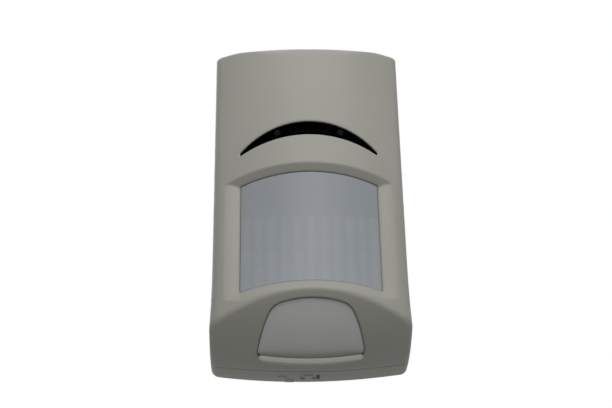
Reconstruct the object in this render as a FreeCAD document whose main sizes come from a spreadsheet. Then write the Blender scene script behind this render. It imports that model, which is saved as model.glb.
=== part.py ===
import FreeCAD, Part
import math
import os
import Sketcher
from FreeCAD import Placement, Rotation, Vector

# Driving dimensions in millimetres and degrees
SIZES = {
    # housing: overall size, then the surfaces that bound it, with heights over the bottom
    "body_width": 67.6,
    "body_height": 127.0,
    "body_depth": 58.0,
    "front_lean": 8.5,
    "front_radius": 52.0,
    "crest_height": 29.5,
    "corner_radius_top": 4.5,
    "corner_radius_foot": 8.0,
    "flare_height": 37.5,
    "flare_radius": 320.0,
    "top_slope": 10.0,
    "top_round": 14.0,
    "top_setback": 10.5,
    "top_arch": 225.0,
    "top_arch_span": 80.0,
    "bottom_arch": 270.0,
    "bottom_arch_span": 44.0,
    "chin_radius": 73.0,
    "chin_centre_setback": 61.3,
    "chin_centre_height": 69.2,
    "top_edge_radius": 1.2,
    "bottom_edge_radius": 3.0,
    "crest_edge_radius": 2.0,
    "wall": 2.3,
    "back_wall": 2.2,
    # how far joined forms run into each other, and cutters past what they cut
    "join": 0.5,
    "overrun": 1.0,
    # seam between cover and base, behind the front, with a tongue on the base
    "seam_setback": 29.7,
    "seam_gap": 0.3,
    "tongue_gap": 0.35,
    "tongue_thickness": 1.0,
    "tongue_height": 1.5,
    "tongue_foot": 2.5,
    # recess round the lens: its side strips, and the slopes above and below, whose heights are over the crest
    "recess_margin": 4.3,
    "recess_floor": 2.9,
    "strip_depth": 9.15,
    "strip_hollow": 9.0,
    "frame_margin": 4.0,
    "frame_back": 4.4,
    "ledge_setback": 22.0,
    "upper_ledge_slope": 1.45,
    "upper_ledge_tip": 27.66,
    "upper_ledge_radius": 74.5,
    "upper_ledge_foot": -14.0,
    "lower_ledge_slope": 0.97,
    "lower_ledge_shoulder": 12.8,
    "lower_ledge_tip": 10.1,
    "lower_ledge_radius": 37.0,
    "lower_ledge_head": 44.0,
    # lens and the frame that holds it from behind, with heights over the crest
    "lens_margin": 10.1,
    "lens_top_tip": 37.0,
    "lens_top_radius": 72.0,
    "lens_bottom_tip": -0.3,
    "lens_bottom_radius": 88.0,
    "lens_depth": 2.5,
    "lens_thickness": 0.8,
    "lens_rim": 0.8,
    "lens_flange": 1.6,
    "lens_flange_thickness": 0.6,
    "fit_gap": 0.15,
    "touch_gap": 0.05,
    "retainer_width": 4.0,
    "retainer_thickness": 1.4,
    # crescent window and its light pipes, with heights over the crest
    "window_margin": 9.7,
    "window_tip_top": 48.9,
    "window_tip_bottom": 47.8,
    "window_top_radius": 33.0,
    "window_bottom_radius": 48.0,
    "window_depth": 0.6,
    "window_flange": 1.0,
    "window_flange_thickness": 0.8,
    "light_spacing": 22.0,
    "light_height": 55.5,
    "light_pipe_radius": 1.5,
    "light_gap": 0.4,
    # panel on the chin and the lip under it, with heights over the bottom
    "panel_top": 25.4,
    "panel_top_half_width": 10.0,
    "panel_top_radius": 36.0,
    "panel_shoulder_half_width": 14.45,
    "panel_shoulder": 21.6,
    "panel_shoulder_radius": 7.0,
    "panel_side_radius": 45.0,
    "panel_margin": 15.5,
    "panel_bottom_corner": 10.3,
    "panel_corner_width": 1.1,
    "panel_bottom_tip": 8.9,
    "panel_corner_radius": 1.25,
    "panel_bottom_radius": 115.0,
    "panel_pocket": 1.8,
    "panel_setback": 1.86,
    "panel_drop": 1.15,
    "panel_seat_gap": 0.1,
    "lip_height": 2.1,
    "lip_end": 1.0,
    "lip_setback": 19.4,
    # hooks at the top of the cover
    "hook_spacing": 36.0,
    "hook_width": 5.0,
    "hook_thickness": 1.8,
    "hook_reach": 3.5,
    "hook_root": 9.0,
    "hook_gap": 0.6,
    "hook_drop": 0.9,
    # lock: a slider on the base, a slot for its tab, and a catch on the cover, with depths from the seam
    "slot_half_width": 3.45,
    "slot_front": 2.4,
    "slot_rear": 6.1,
    "lock_travel": 1.1,
    "lock_gap": 0.1,
    "lock_plate_height": 5.9,
    "lock_plate_thickness": 1.5,
    "lock_plate_half_width": 7.0,
    "lock_plate_rear": 11.3,
    "lock_plate_front": 1.2,
    "lock_dome_width": 3.0,
    "lock_tab_recess": 0.4,
    "lock_hook_front": 3.3,
    "lock_hook_thickness": 1.5,
    "lock_arm_rise": 2.4,
    "lock_arm_thickness": 1.2,
    "rail_width": 1.6,
    "catch_gap": 0.3,
    "catch_thickness": 1.2,
    "catch_width": 4.5,
    "catch_height": 5.0,
    # raised open-padlock mark beside the slot
    "mark_relief": 0.25,
    "mark_x": -7.4,
    "mark_setback": 6.4,
    "mark_body_width": 3.2,
    "mark_body_length": 2.6,
    "mark_shackle_radius": 1.75,
    "mark_shackle_width": 0.8,
    "mark_shackle_leg": 1.4,
    # wall mounting
    "wall_hole_spacing": 96.0,
    "wall_hole_middle": -4.0,
    "wall_hole_radius": 2.2,
    "wall_hole_pad_radius": 5.0,
    "wall_hole_pad_height": 1.0,
    "entry_x": -16.0,
    "entry_z": 30.0,
    "entry_radius": 5.1,
    "grommet_bore": 3.5,
    "grommet_flange_radius": 6.6,
    "grommet_flange_thickness": 1.2,
    "grommet_gap": 0.1,
    # main board on bosses of the cover: before the seam, in from the sides, below the top, over the bottom
    "board_front": 2.7,
    "board_thickness": 1.6,
    "board_margin": 6.8,
    "board_top": 17.5,
    "board_bottom": 15.5,
    "boss_radius": 3.0,
    "boss_margin": 11.8,
    "boss_top": 23.5,
    "boss_bottom": 20.5,
    "screw_radius": 1.35,
    "screw_clearance": 0.1,
    "screw_head_radius": 2.5,
    "screw_head_height": 1.4,
    "screw_length": 7.0,
    "screw_slot": 0.6,
    "screw_tip_gap": 0.5,
    "pilot_floor": 1.6,
    # sensor on the board behind the lens, over the crest
    "sensor_height": 22.0,
    "sensor_flange_radius": 4.6,
    "sensor_flange_thickness": 0.6,
    "sensor_can_radius": 4.1,
    "sensor_can_height": 3.6,
    "sensor_window_width": 4.0,
    "sensor_window_height": 3.0,
    "sensor_window_thickness": 0.4,
    "shroud_radius": 6.5,
    "shroud_mouth_radius": 10.0,
    "shroud_length": 8.0,
    "shroud_wall": 1.0,
    # parts on the board: width, thickness, height, then place across and over the crest
    "chip_width": 7.0,
    "chip_thickness": 1.6,
    "chip_x": -13.0,
    "chip_z": 43.0,
    "crystal_width": 10.0,
    "crystal_thickness": 3.5,
    "crystal_height": 4.4,
    "crystal_x": 13.0,
    "crystal_z": 43.0,
    "relay_width": 12.0,
    "relay_thickness": 6.0,
    "relay_height": 9.0,
    "relay_x": -10.0,
    "relay_z": 67.0,
    "capacitor_radius": 3.0,
    "capacitor_length": 7.0,
    "capacitor_x": 6.0,
    "capacitor_pitch": 8.0,
    "capacitor_z": 67.0,
    "resistor_width": 0.8,
    "resistor_thickness": 0.5,
    "resistor_length": 1.6,
    "resistor_pitch": 3.0,
    "resistor_x": -9.0,
    "resistor_z": 4.0,
    "ceramic_thickness": 0.9,
    "ceramic_z": -1.0,
    "light_body_radius": 1.5,
    "light_body_length": 2.4,
    # jumper on the back of the board, over the crest
    "jumper_width": 7.6,
    "jumper_depth": 2.5,
    "jumper_height": 2.5,
    "jumper_x": -17.0,
    "jumper_z": 42.0,
    "pin_width": 0.64,
    "pin_pitch": 2.54,
    "jumper_pin_length": 6.0,
    "jumper_cap_length": 7.0,
    "jumper_cap_width": 4.8,
    "jumper_cap_gap": 0.2,
    # plug between main board and base
    "plug_width": 18.0,
    "plug_height": 6.0,
    "plug_depth": 9.0,
    "plug_height_over_bottom": 25.5,
    "plug_gap": 0.5,
    "plug_pin_reach": 5.0,
    "socket_hole_width": 1.6,
    # tamper switch on the board, over the crest, plunger and the post that presses it
    "tamper_margin": 11.8,
    "tamper_z": 14.0,
    "tamper_width": 6.0,
    "tamper_depth": 5.0,
    "plunger_radius": 1.2,
    "plunger_reach": 2.0,
    "plunger_hidden": 3.0,
    "plunger_gap": 0.3,
    "post_radius": 2.4,
    # board in the base with the terminal block, with heights over the bottom
    "base_board_front": 5.6,
    "base_board_thickness": 1.6,
    "base_board_half_width": 18.0,
    "base_board_top": 65.5,
    "base_board_bottom": 17.5,
    "pillar_inset": 4.0,
    "terminal_pitch": 5.08,
    "terminal_depth": 9.5,
    "terminal_height": 10.0,
    "terminal_z": 48.5,
    "terminal_end": 0.8,
    "terminal_hole_radius": 2.1,
    "terminal_screw_radius": 1.9,
    "terminal_screw_sink": 0.4,
    "terminal_screw_head": 1.2,
    "terminal_shank_radius": 1.2,
    "terminal_entry_width": 3.4,
    "terminal_entry_height": 3.2,
    "terminal_entry_depth": 7.0,
    "terminal_roof": 1.0,
    "clamp_thickness": 0.8,
    "clamp_side_gap": 0.2,
    "clamp_end_gap": 0.5,
    "clamp_setback": 1.0,
    # level vial in its cradle
    "vial_radius": 2.2,
    "vial_length": 12.0,
    "vial_x": 14.0,
    "vial_z": 22.0,
    "cradle_rib": 1.6,
    "cradle_spread": 7.2,
    "cradle_depth": 3.4,
}


# Ways of the plug between the boards and of the terminal block
WAYS = 6


class Size:
    """A length that knows its number and the formula that binds it to the sheet."""

    def __init__(self, text, value):
        self.text = text
        self.value = value

    def join(self, other, sign, value):
        return Size("(%s %s %s)" % (self.text, sign, other.text), value)

    def __add__(self, other):
        other = as_size(other)
        return self.join(other, "+", self.value + other.value)

    def __radd__(self, other):
        return as_size(other) + self

    def __sub__(self, other):
        other = as_size(other)
        return self.join(other, "-", self.value - other.value)

    def __rsub__(self, other):
        return as_size(other) - self

    def __mul__(self, other):
        other = as_size(other)
        return self.join(other, "*", self.value * other.value)

    def __rmul__(self, other):
        return as_size(other) * self

    def __truediv__(self, other):
        other = as_size(other)
        return self.join(other, "/", self.value / other.value)

    def __neg__(self):
        return Size("(0 - %s)" % self.text, -self.value)


def as_size(value):
    return value if isinstance(value, Size) else Size(repr(float(value)), float(value))


def size(name):
    return Size("Sizes." + name, SIZES[name])


def sine(angle):
    return Size("sin(%s)" % angle.text, math.sin(math.radians(angle.value)))


def cosine(angle):
    return Size("cos(%s)" % angle.text, math.cos(math.radians(angle.value)))


def tangent(angle):
    return Size("tan(%s)" % angle.text, math.tan(math.radians(angle.value)))


def root(square):
    return Size("sqrt(%s)" % square.text, math.sqrt(square.value))


doc = FreeCAD.newDocument("MotionDetector")
sheet = doc.addObject("Spreadsheet::Sheet", "Sizes")
for row, (alias, number) in enumerate(SIZES.items(), start=1):
    sheet.set("A%d" % row, alias)
    sheet.set("B%d" % row, str(number))
    sheet.setAlias("B%d" % row, alias)
doc.recompute()


def bind(thing, prop, value):
    """Set a property to a formula of sheet values."""
    thing.setExpression(prop, as_size(value).text)


def place(thing, x=0, y=0, z=0, axis=None, angle=0):
    """Bind the place of a thing, turned about one axis."""
    if axis:
        thing.Placement = Placement(Vector(0, 0, 0), Rotation(axis, as_size(angle).value))
        bind(thing, "Placement.Rotation.Angle", angle)
    for letter, value in (("x", x), ("y", y), ("z", z)):
        bind(thing, "Placement.Base." + letter, value)
    return thing


def new_sketch(body, name, plane):
    """A sketch on one of the body's own origin planes."""
    sketch = body.newObject("Sketcher::SketchObject", name)
    feature = [f for f in body.Origin.OriginFeatures if f.Role == plane][0]
    sketch.AttachmentSupport = (feature, [""])
    sketch.MapMode = "FlatFace"
    return sketch


def arc_between(start, end, radius, side):
    """The smaller arc between two points, drawn counterclockwise. It bulges left of travel when side is 1."""
    chord = end - start
    half = chord.Length / 2
    rise = radius - math.sqrt(max(radius * radius - half * half, 0))
    across = Vector(-chord.y, chord.x, 0).normalize()
    middle = (start + end) / 2 + across * (rise * side)
    return Part.Arc(end, middle, start) if side > 0 else Part.Arc(start, middle, end)


def hold(sketch, geometry, position, x, y):
    """Hold one end of a sketch element at two bound distances from the origin."""
    for kind, value, axis in (("DistanceX", x, -2), ("DistanceY", y, -1)):
        value = as_size(value)
        if value.text == "0.0":
            sketch.addConstraint(Sketcher.Constraint("PointOnObject", geometry, position, axis))
        else:
            index = sketch.addConstraint(
                Sketcher.Constraint(kind, -1, 1, geometry, position, value.value))
            sketch.setExpression("Constraints[%d]" % index, value.text)


def draw(sketch, path):
    """A closed outline. Each entry is (x, y), reached by a line, or (x, y, radius, side), reached by an arc."""
    points = [Vector(as_size(p[0]).value, as_size(p[1]).value, 0) for p in path]
    ends = []
    first = sketch.GeometryCount
    for i, entry in enumerate(path):
        start, end = points[i - 1], points[i]
        if len(entry) == 2:
            sketch.addGeometry(Part.LineSegment(start, end))
            ends.append((1, 2))
            continue
        sketch.addGeometry(arc_between(start, end, as_size(entry[2]).value, entry[3]))
        ends.append((2, 1) if entry[3] > 0 else (1, 2))
    for i, entry in enumerate(path):
        after = (i + 1) % len(path)
        sketch.addConstraint(Sketcher.Constraint(
            "Coincident", first + i, ends[i][1], first + after, ends[after][0]))
    for i, entry in enumerate(path):
        hold(sketch, first + i, ends[i][1], entry[0], entry[1])
        if len(entry) == 4:
            radius = as_size(entry[2])
            index = sketch.addConstraint(Sketcher.Constraint("Radius", first + i, radius.value))
            sketch.setExpression("Constraints[%d]" % index, radius.text)
    return sketch


def new_body(name):
    return doc.addObject("PartDesign::Body", name)


def prism(name, plane, path, length, midplane=True, reverse=False):
    """A padded outline."""
    body = new_body(name)
    sketch = draw(new_sketch(body, name + "Outline", plane), path)
    pad = body.newObject("PartDesign::Pad", name + "Pad")
    pad.Profile = sketch
    pad.SideType = "Symmetric" if midplane else "One side"
    pad.Reversed = reverse
    bind(pad, "Length", length)
    body.Tip = pad
    return body


def arched(name, path, axis_height, span):
    """A side profile swept along an arch: turned about a line parallel to Y at a height."""
    body = new_body(name)
    sketch = draw(new_sketch(body, name + "Profile", "YZ_Plane"), path)
    reach = size("wall")
    ends = [Vector(x.value, axis_height.value, 0) for x in (-reach, reach)]
    line = sketch.addGeometry(Part.LineSegment(*ends), True)
    hold(sketch, line, 1, -reach, axis_height)
    hold(sketch, line, 2, reach, axis_height)
    turn = body.newObject("PartDesign::Revolution", name + "Turn")
    turn.Profile = sketch
    turn.ReferenceAxis = (sketch, ["Axis0"])
    turn.Midplane = True
    bind(turn, "Angle", span)
    body.Tip = turn
    return body


def combine(kind, name, tools):
    result = doc.addObject("Part::" + kind, name)
    result.Shapes = tools
    return result


def cut(name, base, tool):
    result = doc.addObject("Part::Cut", name)
    result.Base = base
    result.Tool = tool
    return result


def round_edges(name, base, choices):
    """Round the edges of a solid. Each choice has a radius at an edge's high end, one at its low end, and a test
    that picks its edges by their middle."""
    doc.recompute()
    result = doc.addObject("Part::Fillet", name)
    result.Base = base
    edges = []
    for high, low, chosen in choices:
        for i, edge in enumerate(base.Shape.Edges, start=1):
            if chosen(edge.CenterOfMass, edge.Length):
                first, last = (edge.valueAt(t).z for t in edge.ParameterRange)
                ends = (high.value, low.value) if first > last else (low.value, high.value)
                edges.append((i,) + ends)
    result.Edges = edges
    return result


width = size("body_width")
height = size("body_height")
depth = size("body_depth")
lean = size("front_lean")
wall = size("wall")
parting = depth - size("seam_setback")
seam_gap = size("seam_gap")
gap = size("fit_gap")
touch = size("touch_gap")
join = size("join")
overrun = size("overrun")
crest = size("crest_height") - height / 2


def over_bottom(name):
    return size(name) - height / 2


def below_top(name):
    return height / 2 - size(name)


def over_crest(name):
    return crest + size(name)


def behind_front(name):
    return depth - size(name)


def inside_side(name):
    return width / 2 - size(name)


def behind_seam(name):
    return parting - size(name)


def before_seam(name):
    return parting + size(name)


def plan_block(name, inset):
    """The convex front, leaning back as it goes up."""
    half = 0.6 * width
    radius = size("front_radius") - inset
    fall = radius - root(radius * radius - half * half)
    behind = depth + height / 4
    path = [
        (half, behind),
        (-half, behind),
        (-half, inset + fall),
        (half, inset + fall, radius, -1),
    ]
    return place(prism(name, "XY_Plane", path, 2 * height), 0, -depth, crest, Vector(1, 0, 0), -lean)


def side_block(name, inset):
    """Upright sides that flare towards the foot."""
    half = width / 2 - inset
    radius = size("flare_radius")
    foot = height * 0.53
    fall = over_bottom("flare_height") + foot
    foot_half = half + radius - root(radius * radius - fall * fall)
    path = [
        (half, height),
        (-half, height),
        (-half, over_bottom("flare_height")),
        (-foot_half, -foot, radius, 1),
        (foot_half, -foot),
        (half, over_bottom("flare_height"), radius, 1),
    ]
    return prism(name, "XZ_Plane", path, 4 * depth)


def front_block(name, inset):
    """The convex front and the sides, rounded where they meet."""
    blank = combine("MultiCommon", name + "Blank", [
        plan_block(name + "Plan", inset), side_block(name + "Sides", inset)])
    side = 0.95 * (width / 2 - inset).value
    top = size("corner_radius_top") - inset
    foot = size("corner_radius_foot") - inset
    flare = over_bottom("flare_height").value

    def on_corner(middle):
        return abs(middle.x) > side and middle.y < -parting.value

    return round_edges(name, blank, [
        (top, foot, lambda middle, length: on_corner(middle) and middle.z > flare),
        (foot, foot, lambda middle, length: on_corner(middle) and middle.z < flare)])


def lower_block(name, inset):
    """Everything above the belly of the chin and the arched underside."""
    bottom = inset - height / 2
    radius = size("chin_radius") - inset
    centre_y = size("chin_centre_setback") - depth
    centre_z = over_bottom("chin_centre_height")
    drop = bottom - centre_z
    path = [
        (0, height * 0.6),
        (centre_y - radius, height * 0.6),
        (centre_y - radius, centre_z),
        (centre_y - root(radius * radius - drop * drop), bottom, radius, -1),
        (0, bottom),
    ]
    return arched(name, path, size("bottom_arch") - height / 2, size("bottom_arch_span"))


def upper_block(name, inset):
    """Everything below the sloping, arched top and its rounding to the front."""
    slope = size("top_slope")
    radius = size("top_round") - inset
    centre_y = size("top_round") - behind_front("top_setback")
    top = height / 2 - inset / cosine(slope)
    centre_z = height / 2 + centre_y * tangent(slope) - size("top_round") / cosine(slope)
    path = [
        (0, -height * 0.6),
        (0, top),
        (centre_y - radius * sine(slope), centre_z + radius * cosine(slope)),
        (centre_y - radius, centre_z, radius, -1),
        (centre_y - radius - height, centre_z - height * 0.2),
        (centre_y - radius - height, -height * 0.6),
    ]
    return arched(name, path, height / 2 - size("top_arch"), size("top_arch_span"))


def housing(name, inset):
    """The whole outer form, drawn inward by an inset."""
    inset = as_size(inset)
    return combine("MultiCommon", name, [
        front_block(name + "Front", inset),
        lower_block(name + "Lower", inset),
        upper_block(name + "Upper", inset)])


parts = {}


def keep(name, thing):
    """Name a finished sub-part."""
    thing.Label = name
    parts[name] = thing
    return thing


def box(name, x, y, z):
    """A box between pairs of bounds."""
    thing = doc.addObject("Part::Box", name)
    for side, (low, high) in (("Length", x), ("Width", y), ("Height", z)):
        bind(thing, side, as_size(high) - low)
    return place(thing, x[0], y[0], z[0])


def rod(name, radius, start, length, along):
    """A cylinder from a start point along one axis."""
    thing = doc.addObject("Part::Cylinder", name)
    bind(thing, "Radius", radius)
    bind(thing, "Height", length)
    turns = {"X": Rotation(Vector(0, 1, 0), 90), "Y": Rotation(Vector(1, 0, 0), -90), "Z": Rotation()}
    thing.Placement = Placement(Vector(0, 0, 0), turns[along])
    return place(thing, *start)


def fuse(name, tools):
    return combine("MultiFuse", name, tools)


def common(name, tools):
    return combine("MultiCommon", name, tools)


def group(name, tools):
    result = doc.addObject("Part::Compound", name)
    result.Links = tools
    return result


def slanted(name, path, plane, length, slope):
    """An outline seen from the front, carried forward along a slope."""
    body = new_body(name)
    sketch = draw(new_sketch(body, name + "Outline", "XZ_Plane"), path)
    pad = body.newObject("PartDesign::Pad", name + "Pad")
    pad.Profile = sketch
    pad.UseCustomVector = True
    pad.AlongSketchNormal = True
    pad.Direction = Vector(0, -1, slope.value)
    bind(pad, "Direction.z", slope)
    bind(pad, "Length", length)
    body.Tip = pad
    return place(body, 0, -plane, 0)


def front_prism(name, path):
    """An outline seen from the front, right through the housing."""
    return prism(name, "XZ_Plane", path, 4 * depth)


def arched_outline(half, top_tip, top_radius, bottom_tip, bottom_radius):
    """Straight sides between two arches."""
    return [(-half, top_tip), (half, top_tip, top_radius, 1), (half, bottom_tip),
            (-half, bottom_tip, bottom_radius, -1)]


def skin(name, near, far):
    """The layer of the leaning front between two depths."""
    return cut(name, plan_block(name + "Near", near), plan_block(name + "Far", far))


def belly(name, shift, drop=0):
    """The chin's form moved back towards the wall, or down."""
    return place(lower_block(name, as_size(0)), 0, shift, -as_size(drop))


half_height = height / 2

# Outer form, rounded, then split at the seam
sharp = housing("Outer", 0)
top_front = behind_front("top_setback").value
top_edge = size("top_edge_radius")
foot_edge = size("bottom_edge_radius")
crest_edge = size("crest_edge_radius")
rounded_top = round_edges("OuterTop", sharp, [(top_edge, top_edge, lambda middle, length: (
    middle.z > 0.7 * half_height.value and -0.92 * top_front < middle.y < -1))])
outer = round_edges("OuterRound", rounded_top, [
    (foot_edge, foot_edge, lambda middle, length: (
        abs(middle.x) > width.value / 2 and middle.z < -0.7 * half_height.value
        and length > parting.value / 3 and middle.y < -1)),
    (crest_edge, crest_edge, lambda middle, length: (
        middle.y < -0.75 * depth.value and crest.value - 0.3 * depth.value < middle.z < crest.value)),
])
inner = housing("Inner", wall)

seam_front = -(parting + seam_gap / 2)
seam_rear = -(parting - seam_gap / 2)
wide = (-width, width)
cover_side = box("CoverSide", wide, (-2 * depth, seam_front), (-height, height))
base_side = box("BaseSide", wide, (seam_rear, overrun), (-height, height))

# Recess round the lens
lens_half = inside_side("lens_margin")
recess_half = inside_side("recess_margin")
strip = size("strip_depth")
floor_radius = size("front_radius") - size("recess_floor")
floor_at_lens = size("recess_floor") + floor_radius - root(floor_radius * floor_radius - lens_half * lens_half)
trough = prism("Trough", "XY_Plane", [
    (recess_half, -half_height),
    (-recess_half, -half_height),
    (-recess_half, strip),
    (-lens_half, floor_at_lens, size("strip_hollow"), -1),
    (lens_half, floor_at_lens, floor_radius, -1),
    (recess_half, strip, size("strip_hollow"), -1),
], 2 * height)
place(trough, 0, -depth, crest, Vector(1, 0, 0), -lean)
upper_cut = slanted("UpperLedge", [
    (-recess_half, over_crest("upper_ledge_tip")),
    (recess_half, over_crest("upper_ledge_tip"), size("upper_ledge_radius"), -1),
    (recess_half, over_crest("upper_ledge_foot")),
    (-recess_half, over_crest("upper_ledge_foot")),
], behind_front("ledge_setback"), depth, size("upper_ledge_slope"))
lower_cut = slanted("LowerLedge", [
    (-recess_half, over_crest("lower_ledge_head")),
    (recess_half, over_crest("lower_ledge_head")),
    (recess_half, over_crest("lower_ledge_tip")),
    (lens_half, over_crest("lower_ledge_shoulder")),
    (-lens_half, over_crest("lower_ledge_shoulder"), size("lower_ledge_radius"), -1),
    (-recess_half, over_crest("lower_ledge_tip")),
], behind_front("ledge_setback"), depth, -size("lower_ledge_slope"))
recess = common("Recess", [trough, fuse("Ledges", [upper_cut, lower_cut])])


def lens_outline(grow):
    return arched_outline(
        lens_half + grow, over_crest("lens_top_tip") + grow, size("lens_top_radius") + grow,
        over_crest("lens_bottom_tip") - grow, size("lens_bottom_radius") - grow)


frame_grow = size("frame_margin")
frame = common("LensFrame", [
    skin("FrameSkin", wall - join, size("frame_back")), front_prism("FrameOutline", lens_outline(frame_grow)),
    outer])
lens_hole = front_prism("LensHole", lens_outline(gap))

# Crescent slot for the window
window_half = inside_side("window_margin")


def crescent(grow):
    grow = as_size(grow)
    return [
        (-window_half - grow, over_crest("window_tip_top") + grow),
        (window_half + grow, over_crest("window_tip_top") + grow, size("window_top_radius") + grow, 1),
        (window_half + grow, over_crest("window_tip_bottom") - grow),
        (-window_half - grow, over_crest("window_tip_bottom") - grow, size("window_bottom_radius") - grow, -1),
    ]


window_slot = front_prism("WindowSlot", crescent(0))


# Panel pocket on the chin and the lip under it
panel_half = inside_side("panel_margin")
panel_tip_half = panel_half - size("panel_corner_width")


def panel_outline(shrink):
    """An arched top, rounded shoulders, slightly bowed sides and an arched foot."""
    shrink = as_size(shrink)
    top = over_bottom("panel_top") - shrink
    top_half = size("panel_top_half_width")
    shoulder = over_bottom("panel_shoulder") - shrink / 2
    shoulder_half = size("panel_shoulder_half_width") - shrink
    shoulder_radius = size("panel_shoulder_radius")
    corner = over_bottom("panel_bottom_corner")
    corner_half = panel_half - shrink
    corner_radius = size("panel_corner_radius")
    tip = over_bottom("panel_bottom_tip") + shrink
    tip_half = panel_tip_half - shrink
    side_radius = size("panel_side_radius")
    return [
        (-top_half, top, shoulder_radius, 1),
        (top_half, top, size("panel_top_radius"), 1),
        (shoulder_half, shoulder, shoulder_radius, 1),
        (corner_half, corner, side_radius, 1),
        (tip_half, tip, corner_radius, 1),
        (-tip_half, tip, size("panel_bottom_radius"), 1),
        (-corner_half, corner, corner_radius, 1),
        (-shoulder_half, shoulder, side_radius, 1),
    ]


panel_pocket = cut(
    "PanelPocket", front_prism("PocketOutline", panel_outline(0)), belly("PocketFloor", size("panel_pocket")))
lip_high = over_bottom("panel_bottom_tip")
lip_low = lip_high - size("lip_height")
lip_end = size("lip_end")
lip_outline = [
    (-panel_tip_half, lip_high),
    (panel_tip_half, lip_high, size("panel_bottom_radius"), -1),
    (panel_tip_half + lip_end, lip_low + lip_end),
    (panel_tip_half, lip_low),
    (-panel_tip_half, lip_low, size("panel_bottom_radius"), 1),
    (-panel_tip_half - lip_end, lip_low + lip_end),
]
lip = common("Lip", [
    front_prism("LipOutline", lip_outline),
    box("LipDepth", wide, (-behind_front("lip_setback"), -parting - wall), (-height, 0))])

# Front cover
cover_shell = cut("CoverShell", common("CoverOuter", [outer, cover_side]), inner)

# Bosses for the main board
board_front = before_seam("board_front")
board_rear = board_front - size("board_thickness")
boss_spots = [(sx, z) for sx in (-1, 1) for z in (below_top("boss_top"), over_bottom("boss_bottom"))]
boss_half = inside_side("boss_margin")
bosses = common("Bosses", [
    fuse("BossRods", [
        rod("Boss%d" % i, size("boss_radius"), (sx * boss_half, -depth, z), depth - board_front, "Y")
        for i, (sx, z) in enumerate(boss_spots)]),
    housing("BossLimit", wall / 2)])
screw_length = size("screw_length")
pilots = fuse("Pilots", [
    rod("Pilot%d" % i, size("screw_radius") + size("screw_clearance"),
        (sx * boss_half, -board_front - screw_length, z), screw_length + overrun, "Y")
    for i, (sx, z) in enumerate(boss_spots)])

# Hooks at the top of the cover
hook_x = size("hook_spacing") / 2
hook_top = half_height - parting * tangent(size("top_slope")) - wall - size("hook_gap") - size("hook_drop")
hook_low = hook_top - size("hook_thickness")
hooks = []
for i, sx in enumerate((-1, 1)):
    span = (sx * hook_x - size("hook_width") / 2, sx * hook_x + size("hook_width") / 2)
    hooks.append(box("Hook%d" % i, span, (-parting - size("hook_root"), -parting + size("hook_reach")),
                     (hook_low, hook_top)))
    hooks.append(box("HookRoot%d" % i, span, (-parting - size("hook_root"), seam_front),
                     (hook_low, hook_top + size("hook_gap") + wall / 2)))

# Catch that the lock slides in front of
tab_right = size("slot_half_width") - size("lock_gap") - size("lock_travel")
catch_left = tab_right + size("catch_gap")
lock_floor = over_bottom("lock_plate_height")
catch_rear = -(before_seam("lock_hook_front") - size("lock_hook_thickness") - size("lock_gap") * 2)
catch = common("Catch", [
    box("CatchRib", (catch_left, catch_left + size("catch_width")),
        (catch_rear, catch_rear + size("catch_thickness")),
        (-half_height, lock_floor + size("catch_height"))),
    housing("CatchLimit", wall / 2)])

hook_forms = common("HookForms", [fuse("Hooks", hooks), housing("HookLimit", wall / 2)])

front_cover = fuse("FrontCover", [
    cut("CoverPocketed", cut("CoverSlotted", cut("CoverOpened", cut("CoverRecessed", fuse("CoverFramed", [
        cover_shell, frame]), recess), lens_hole), window_slot), panel_pocket),
    lip, cut("BossesDrilled", bosses, pilots), catch, hook_forms])
keep("front_cover", front_cover)


# Lens: a thin moulding with a rim and a flange behind the frame
lens_depth = size("lens_depth")
lens_back = lens_depth + size("lens_thickness")
flange_near = size("frame_back") + touch
flange_far = flange_near + size("lens_flange_thickness")
rim = size("lens_rim")
flange = size("lens_flange")
lens_rim = cut("LensRim", common("LensBlock", [
    skin("LensRimSkin", lens_depth, flange_far), front_prism("LensRimOutline", lens_outline(0))]),
    front_prism("LensRimHollow", lens_outline(-rim)))
lens_sheet = common("LensSheet", [
    skin("LensSheetSkin", lens_depth, lens_back), front_prism("LensSheetOutline", lens_outline(0))])
lens_flange = cut("LensFlange", common("LensFlangeBlock", [
    skin("LensFlangeSkin", flange_near, flange_far), front_prism("LensFlangeOutline", lens_outline(flange))]),
    front_prism("LensFlangeHollow", lens_outline(-rim)))
keep("fresnel_lens", fuse("FresnelLens", [lens_rim, lens_sheet, lens_flange]))

# Frame that holds the lens from behind
retainer_near = flange_far + touch
retainer = size("retainer_width")
keep("lens_retainer", cut("LensRetainer", common("RetainerBlock", [
    skin("RetainerSkin", retainer_near, retainer_near + size("retainer_thickness")),
    front_prism("RetainerOutline", lens_outline(flange))]),
    front_prism("RetainerHollow", lens_outline(flange - retainer))))

# Window in the slot with a flange inside the wall and two light pipes
window_back = wall + size("window_flange_thickness")
window_face = common("WindowFace", [
    skin("WindowSkin", size("window_depth"), window_back), front_prism("WindowOutline", crescent(-gap))])
window_flange = common("WindowFlange", [
    skin("WindowFlangeSkin", wall, window_back),
    front_prism("WindowFlangeOutline", crescent(size("window_flange")))])
light_half = size("light_spacing") / 2
light_z = over_crest("light_height")
light_front = board_front + size("light_body_length") + size("light_gap")
pipes = common("LightPipes", [
    fuse("LightRods", [
        rod("LightRod%d" % i, size("light_pipe_radius"), (sx * light_half, -depth, light_z),
            depth - light_front, "Y")
        for i, sx in enumerate((-1, 1))]),
    plan_block("LightLimit", wall + gap)])
keep("led_window", fuse("LedWindow", [window_face, window_flange, pipes]))

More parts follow.
